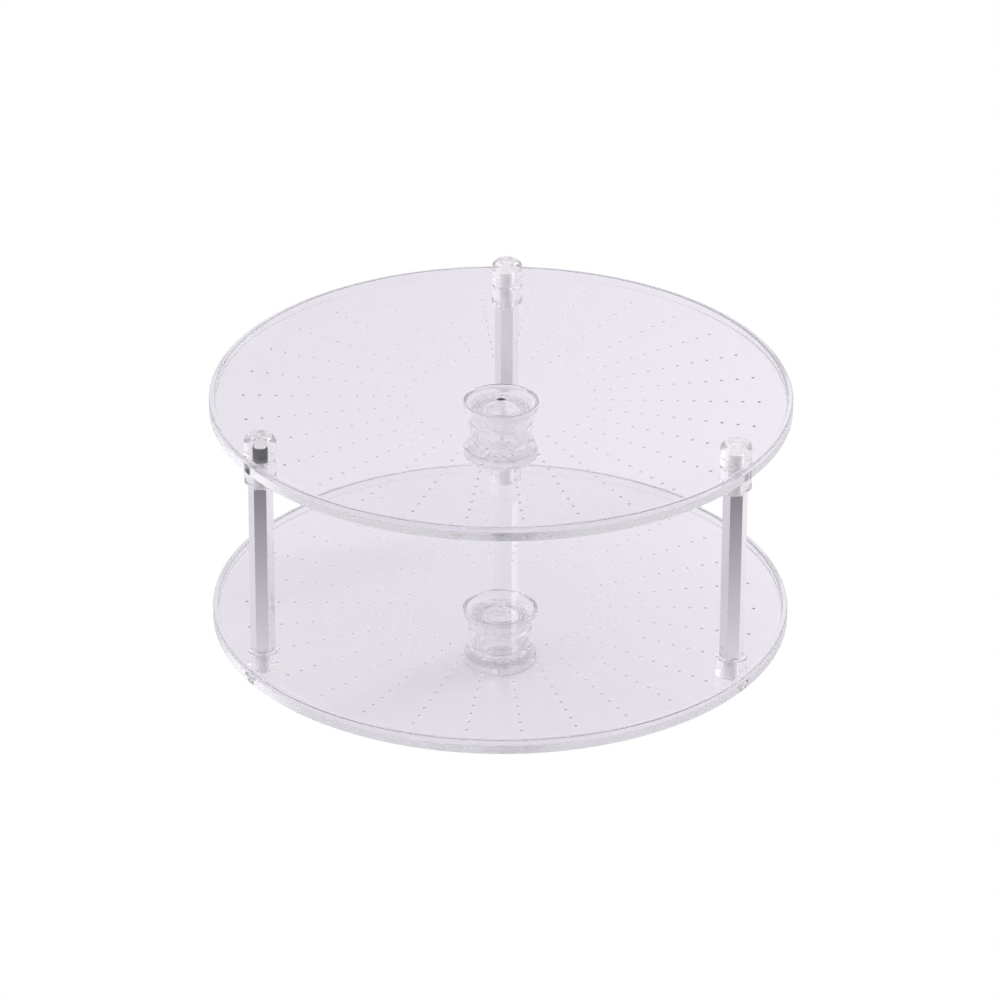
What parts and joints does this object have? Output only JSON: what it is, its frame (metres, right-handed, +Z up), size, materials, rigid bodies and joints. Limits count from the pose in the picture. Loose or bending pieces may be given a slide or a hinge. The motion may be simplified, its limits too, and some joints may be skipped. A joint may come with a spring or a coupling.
{
  "type": "two-tier lazy susan turntable",
  "caption": "Clear tiered round turntable: lipped trays stacked on hexagonal metal posts with domed cap nuts, spinning on a central bead-bearing hub and padded foot.",
  "frame": {"origin": "on the spin axis, at the level of the table that the lower foot pad stands on", "axes": "+Z up along the spin axis; +Y from the axis towards the rear post; the other two posts are at 210 and 330 degrees about +Z"},
  "size_m": [0.3, 0.3, 0.169],
  "materials": {
    "clear_tray": "polished clear moulded plastic",
    "clear_fittings": "polished clear turned plastic",
    "clear_hub": "polished clear moulded plastic",
    "polished_steel": "polished hexagonal bar",
    "thread_steel": "rolled thread, slightly oily",
    "clear_silicone": "soft clear silicone, matt",
    "beads": "polished clear beads"
  },
  "bodies": {
    "base": {"lower_hub_foot": "clear_hub", "lower_hub_retainer": "clear_hub", "lower_hub_pad": "clear_silicone"},
    "turntable": {"lower_tray": "clear_tray", "upper_tray": "clear_tray", "post_rear": "polished_steel", "post_left": "polished_steel", "post_right": "polished_steel", "lower_collar_rear": "clear_fittings", "lower_collar_left": "clear_fittings", "lower_collar_right": "clear_fittings", "upper_collar_rear": "clear_fittings", "upper_collar_left": "clear_fittings", "upper_collar_right": "clear_fittings", "cap_nut_rear": "clear_fittings", "cap_nut_left": "clear_fittings", "cap_nut_right": "clear_fittings", "post_studs": "thread_steel", "base_screws": "thread_steel", "lower_hub_sleeve": "clear_hub", "upper_hub_sleeve": "clear_hub"},
    "lower_beads": {"lower_beads_bottom": "beads", "lower_beads_top": "beads"},
    "upper_foot": {"upper_hub_foot": "clear_hub", "upper_hub_retainer": "clear_hub", "upper_hub_pad": "clear_silicone"},
    "upper_beads": {"upper_beads_bottom": "beads", "upper_beads_top": "beads"}
  },
  "joints": [
    {"name": "turntable_spin", "type": "hinge", "parent": "base", "child": "turntable", "pos_m": [0, 0, 0.0108], "axis": [0, 0, 1], "continuous": true},
    {"name": "lower_bead_roll", "type": "hinge", "parent": "base", "child": "lower_beads", "pos_m": [0, 0, 0.00805], "axis": [0, 0, 1], "continuous": true},
    {"name": "upper_foot_spin", "type": "hinge", "parent": "turntable", "child": "upper_foot", "pos_m": [0, 0, 0.1317], "axis": [0, 0, 1], "continuous": true},
    {"name": "upper_bead_roll", "type": "hinge", "parent": "turntable", "child": "upper_beads", "pos_m": [0, 0, 0.12895], "axis": [0, 0, 1], "continuous": true}
  ],
  "couplings": [
    {"joint": "lower_bead_roll", "follows": "turntable_spin", "ratio": 0.5},
    {"joint": "upper_bead_roll", "follows": "upper_foot_spin", "ratio": 0.5}
  ]
}
